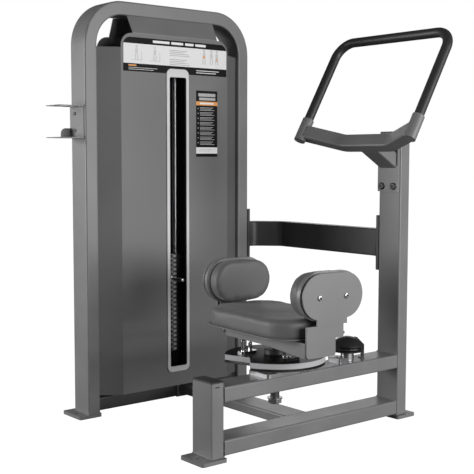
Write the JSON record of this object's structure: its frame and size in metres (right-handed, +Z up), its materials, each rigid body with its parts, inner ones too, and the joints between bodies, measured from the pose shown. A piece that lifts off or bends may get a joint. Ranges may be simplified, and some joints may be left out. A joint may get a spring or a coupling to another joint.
{
  "type": "rotary torso machine",
  "caption": "Selectorised gym machine: a turning padded seat on a cam, a fixed handle on a tall post, and a hoop tower with a cable-driven weight stack.",
  "frame": {"origin": "on the floor, under the middle of the machine's box", "axes": "+X along the tower's front from the accessory holder to the tall post, +Y from the seat to the tower's back, +Z up"},
  "size_m": [1.055, 1.0499, 1.5],
  "materials": {
    "frame_paint": "satin powder coat",
    "cover_paint": "satin powder coat",
    "dark_paint": "satin powder coat",
    "light_plastic": "satin",
    "black_plastic": "satin",
    "placard_print": "satin print",
    "label_print": "satin print",
    "grip_rubber": "soft sheen",
    "black_rubber": "matte",
    "bright_steel": "bright",
    "brushed": "turned",
    "stack_paint": "satin black",
    "cable_coat": "smooth coating",
    "pad_cover": "soft upholstery vinyl",
    "cam_finish": "turned rim, black top",
    "board_wood": "plywood",
    "rim_plastic": "satin"
  },
  "bodies": {
    "frame": {"tower_hoop": "frame_paint", "tower_crossmember": "dark_paint", "tower_foot_plates": "frame_paint", "crosshead": "dark_paint", "guide_rods": "brushed", "stack_bumpers": "black_rubber", "front_cover": "cover_paint", "back_cover": "cover_paint", "top_guards": "frame_paint", "slot_bezel": "light_plastic", "placard": "placard_print", "instruction_label": "label_print", "accessory_holder": "frame_paint", "accessory_screws": "bright_steel", "rest_plates": "stack_paint", "cable_main_run": "cable_coat", "cable_stack_run": "cable_coat", "top_pulley_bracket": "dark_paint", "base_pulley_bracket": "dark_paint", "pulley_axles": "brushed", "guide_pulley_block": "brushed", "guide_pulley_axle": "brushed", "guide_pulley_dome": "black_plastic", "guide_pulley_guard": "dark_paint", "short_post": "frame_paint", "right_post": "frame_paint", "post_caps": "black_plastic", "lower_beam": "frame_paint", "upper_beam": "frame_paint", "front_foot_plates": "frame_paint", "floor_beam": "frame_paint", "back_beam": "dark_paint", "back_beam_flanges": "dark_paint", "frame_bolts": "dark_paint", "handle_bar": "grip_rubber", "handle_sockets": "frame_paint", "handle_crossbar": "frame_paint", "handle_arm": "frame_paint", "bearing_housing": "brushed"},
    "turntable": {"main_shaft": "dark_paint", "shaft_nut": "brushed", "cam_plate": "cam_finish", "cam_flange": "dark_paint", "stop_pins": "bright_steel", "seat_bracket": "frame_paint", "seat_board": "board_wood", "seat_cushion": "pad_cover", "hip_pad_plates": "frame_paint", "hip_pad_boards": "rim_plastic", "hip_pad_cushions": "pad_cover", "hip_pad_screws": "bright_steel"},
    "lifted_stack": {"lifted_plates": "stack_paint", "head_plate": "stack_paint", "selector_stem": "brushed"},
    "stack_pin": {"selector_pin": "bright_steel"},
    "plunger": {"index_plunger": "bright_steel"},
    "top_wheel_left": {"top_pulley_left": "black_plastic"},
    "top_wheel_right": {"top_pulley_right": "black_plastic"},
    "base_wheel": {"base_pulley": "black_plastic"},
    "guide_wheel": {"guide_pulley": "black_plastic"}
  },
  "joints": [
    {"name": "seat_turn", "type": "hinge", "parent": "frame", "child": "turntable", "pos_m": [-0.1025, -0.245, 0.3], "axis": [0, 0, 1], "range_deg": [0, 95]},
    {"name": "stack_lift", "type": "slide", "parent": "frame", "child": "lifted_stack", "axis": [0, 0, 1], "range_m": [0, 0.25], "deforming": ["cable_stack_run"]},
    {"name": "pin_pull", "type": "slide", "parent": "lifted_stack", "child": "stack_pin", "axis": [0, -1, 0], "range_m": [0, 0.055]},
    {"name": "plunger_lift", "type": "slide", "parent": "turntable", "child": "plunger", "axis": [0, 0, 1], "range_m": [0, 0.018], "stiffness_N_per_m": 600, "springref_m": -0.01},
    {"name": "top_left_spin", "type": "hinge", "parent": "frame", "child": "top_wheel_left", "pos_m": [-0.0125, 0.444, 1.385], "axis": [0, 1, 0], "range_deg": [0, 360]},
    {"name": "top_right_spin", "type": "hinge", "parent": "frame", "child": "top_wheel_right", "pos_m": [0.1075, 0.444, 1.385], "axis": [0, 1, 0], "range_deg": [0, 360]},
    {"name": "base_spin", "type": "hinge", "parent": "frame", "child": "base_wheel", "pos_m": [0.15452, 0.40971, 0.31225], "axis": [-0.9797, -0.2005, 0], "range_deg": [0, 410]},
    {"name": "guide_spin", "type": "hinge", "parent": "frame", "child": "guide_wheel", "pos_m": [0.2375, -0.245, 0.27725], "axis": [0, 0, 1], "range_deg": [-288, 0]}
  ],
  "couplings": [
    {"joint": "stack_lift", "follows": "seat_turn", "m_per_rad": 0.15},
    {"joint": "top_left_spin", "follows": "seat_turn", "ratio": 3.75},
    {"joint": "top_right_spin", "follows": "seat_turn", "ratio": 3.75},
    {"joint": "base_spin", "follows": "seat_turn", "ratio": 4.2857},
    {"joint": "guide_spin", "follows": "seat_turn", "ratio": -3}
  ]
}
